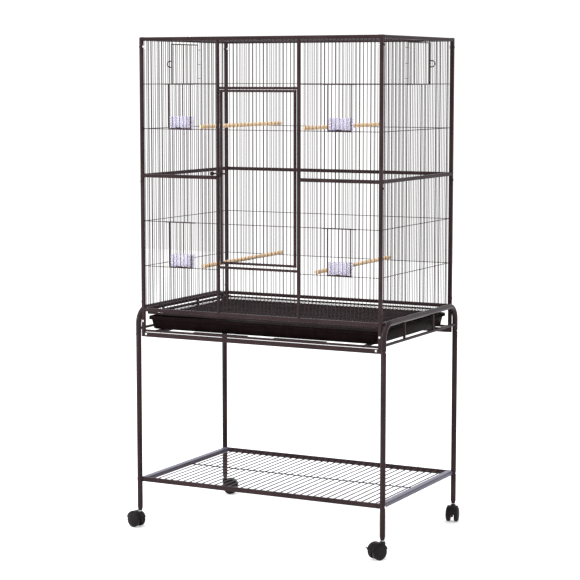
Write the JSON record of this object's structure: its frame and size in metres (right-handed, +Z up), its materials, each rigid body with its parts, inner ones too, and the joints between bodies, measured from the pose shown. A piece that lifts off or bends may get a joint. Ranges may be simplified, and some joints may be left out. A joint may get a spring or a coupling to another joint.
{
  "type": "bird cage on stand",
  "caption": "Tall rectangular wire flight cage with a large front door, feeder doors and perches, on a tubular stand with a wire shelf and twin-wheel casters.",
  "frame": {"origin": "on the floor under the middle of the cage", "axes": "+Z up, -Y towards the front with the large door, +X to the right as seen from the front"},
  "size_m": [0.8099, 0.5593, 1.346],
  "materials": {
    "frame_coat": "satin dark brown-black powder coat",
    "wire_coat": "satin dark brown-black powder coat on wire",
    "tray_plastic": "glossy black moulded plastic",
    "caster_plastic": "satin black moulded plastic",
    "cup_plastic": "pale blue-violet translucent plastic",
    "perch_wood": "plain tan dowel, fine straight grain",
    "pin_steel": "plain steel pin"
  },
  "bodies": {
    "frame": {"corner_post_front_left": "frame_coat", "corner_post_front_right": "frame_coat", "corner_post_rear_left": "frame_coat", "corner_post_rear_right": "frame_coat", "right_panel": "wire_coat", "left_panel": "wire_coat", "back_panel": "wire_coat", "front_top_rail": "frame_coat", "front_bottom_rail": "frame_coat", "front_divider_left": "frame_coat", "front_divider_right": "frame_coat", "front_grille_left": "wire_coat", "front_grille_right": "wire_coat", "door_header": "wire_coat", "door_sill": "wire_coat", "door_hinge_pin_lower": "pin_steel", "door_hinge_pin_upper": "pin_steel", "roof_grid": "wire_coat", "tray_frame": "frame_coat", "leg_front_left": "frame_coat", "leg_front_right": "frame_coat", "leg_rear_left": "frame_coat", "leg_rear_right": "frame_coat", "side_arch_left": "frame_coat", "side_arch_right": "frame_coat", "side_brace_left": "frame_coat", "side_brace_right": "frame_coat", "cross_rail_front": "frame_coat", "cross_rail_rear": "frame_coat", "bottom_shelf": "frame_coat", "perch_upper_left": "perch_wood", "perch_upper_right": "perch_wood", "perch_lower_left": "perch_wood", "perch_lower_right": "perch_wood"},
    "front_door": {"front_door": "wire_coat", "latch_guide": "frame_coat"},
    "latch_bolt": {"latch_bolt": "caster_plastic"},
    "tray": {"tray": "tray_plastic"},
    "grate": {"grate": "wire_coat"},
    "feeder_door_upper_left": {"feeder_door_upper_left": "wire_coat"},
    "cup_upper_left": {"cup_upper_left": "cup_plastic"},
    "feeder_door_upper_right": {"feeder_door_upper_right": "wire_coat"},
    "cup_upper_right": {"cup_upper_right": "cup_plastic"},
    "feeder_door_lower_left": {"feeder_door_lower_left": "wire_coat"},
    "cup_lower_left": {"cup_lower_left": "cup_plastic"},
    "feeder_door_lower_right": {"feeder_door_lower_right": "wire_coat"},
    "cup_lower_right": {"cup_lower_right": "cup_plastic"},
    "nest_door_left": {"nest_door_left": "wire_coat", "nest_door_pull_left": "wire_coat"},
    "nest_door_right": {"nest_door_right": "wire_coat", "nest_door_pull_right": "wire_coat"},
    "caster_front_left": {"caster_hood_front_left": "caster_plastic"},
    "wheels_front_left": {"caster_wheels_front_left": "caster_plastic"},
    "caster_front_right": {"caster_hood_front_right": "caster_plastic"},
    "wheels_front_right": {"caster_wheels_front_right": "caster_plastic"},
    "caster_rear_left": {"caster_hood_rear_left": "caster_plastic"},
    "wheels_rear_left": {"caster_wheels_rear_left": "caster_plastic"},
    "caster_rear_right": {"caster_hood_rear_right": "caster_plastic"},
    "wheels_rear_right": {"caster_wheels_rear_right": "caster_plastic"},
    "brake_lever": {"caster_brake_lever": "caster_plastic"}
  },
  "joints": [
    {"name": "front_door_hinge", "type": "hinge", "parent": "frame", "child": "front_door", "pos_m": [0.1098, -0.2319, 0.9757], "axis": [0, 0, 1], "range_deg": [0, 120]},
    {"name": "latch_slide", "type": "slide", "parent": "front_door", "child": "latch_bolt", "axis": [1, 0, 0], "range_m": [0, 0.015]},
    {"name": "feeder_door_upper_left_slide", "type": "slide", "parent": "frame", "child": "feeder_door_upper_left", "axis": [0, 0, 1], "range_m": [0, 0.108]},
    {"name": "cup_upper_left_lift", "type": "slide", "parent": "frame", "child": "cup_upper_left", "axis": [0, 0, 1], "range_m": [0, 0.03]},
    {"name": "feeder_door_upper_right_slide", "type": "slide", "parent": "frame", "child": "feeder_door_upper_right", "axis": [0, 0, 1], "range_m": [0, 0.108]},
    {"name": "cup_upper_right_lift", "type": "slide", "parent": "frame", "child": "cup_upper_right", "axis": [0, 0, 1], "range_m": [0, 0.03]},
    {"name": "feeder_door_lower_left_slide", "type": "slide", "parent": "frame", "child": "feeder_door_lower_left", "axis": [0, 0, 1], "range_m": [0, 0.108]},
    {"name": "cup_lower_left_lift", "type": "slide", "parent": "frame", "child": "cup_lower_left", "axis": [0, 0, 1], "range_m": [0, 0.03]},
    {"name": "feeder_door_lower_right_slide", "type": "slide", "parent": "frame", "child": "feeder_door_lower_right", "axis": [0, 0, 1], "range_m": [0, 0.108]},
    {"name": "cup_lower_right_lift", "type": "slide", "parent": "frame", "child": "cup_lower_right", "axis": [0, 0, 1], "range_m": [0, 0.03]},
    {"name": "nest_door_left_hinge", "type": "hinge", "parent": "frame", "child": "nest_door_left", "pos_m": [-0.3576, 0.07182, 1.2755], "axis": [0, 0, -1], "range_deg": [0, 150]},
    {"name": "nest_door_right_hinge", "type": "hinge", "parent": "frame", "child": "nest_door_right", "pos_m": [0.3576, -0.07182, 1.2755], "axis": [0, 0, -1], "range_deg": [0, 150]},
    {"name": "tray_slide", "type": "slide", "parent": "frame", "child": "tray", "axis": [0, -1, 0], "range_m": [0, 0.42]},
    {"name": "grate_slide", "type": "slide", "parent": "frame", "child": "grate", "axis": [0, -1, 0], "range_m": [0, 0.3]},
    {"name": "caster_front_left_swivel", "type": "hinge", "parent": "frame", "child": "caster_front_left", "pos_m": [-0.3682, -0.2389, 0.06], "axis": [0, 0, 1], "continuous": true},
    {"name": "wheels_front_left_spin", "type": "hinge", "parent": "caster_front_left", "child": "wheels_front_left", "pos_m": [-0.38372, -0.23503, 0.021], "axis": [-0.2419, -0.9703, 0], "continuous": true},
    {"name": "caster_front_right_swivel", "type": "hinge", "parent": "frame", "child": "caster_front_right", "pos_m": [0.3682, -0.2389, 0.06], "axis": [0, 0, 1], "continuous": true},
    {"name": "wheels_front_right_spin", "type": "hinge", "parent": "caster_front_right", "child": "wheels_front_right", "pos_m": [0.35996, -0.25261, 0.021], "axis": [0.8572, -0.515, 0], "continuous": true},
    {"name": "caster_rear_left_swivel", "type": "hinge", "parent": "frame", "child": "caster_rear_left", "pos_m": [-0.3682, 0.2389, 0.06], "axis": [0, 0, 1], "continuous": true},
    {"name": "wheels_rear_left_spin", "type": "hinge", "parent": "caster_rear_left", "child": "wheels_rear_left", "pos_m": [-0.35394, 0.24616, 0.021], "axis": [-0.454, 0.891, 0], "continuous": true},
    {"name": "caster_rear_right_swivel", "type": "hinge", "parent": "frame", "child": "caster_rear_right", "pos_m": [0.3682, 0.2389, 0.06], "axis": [0, 0, 1], "continuous": true},
    {"name": "wheels_rear_right_spin", "type": "hinge", "parent": "caster_rear_right", "child": "wheels_rear_right", "pos_m": [0.37261, 0.22352, 0.021], "axis": [0.9613, 0.2756, 0], "continuous": true},
    {"name": "brake_lever_press", "type": "hinge", "parent": "caster_front_right", "child": "brake_lever", "pos_m": [0.34834, -0.27196, 0.03001], "axis": [0.8572, -0.515, 0], "range_deg": [0, 25]}
  ]
}
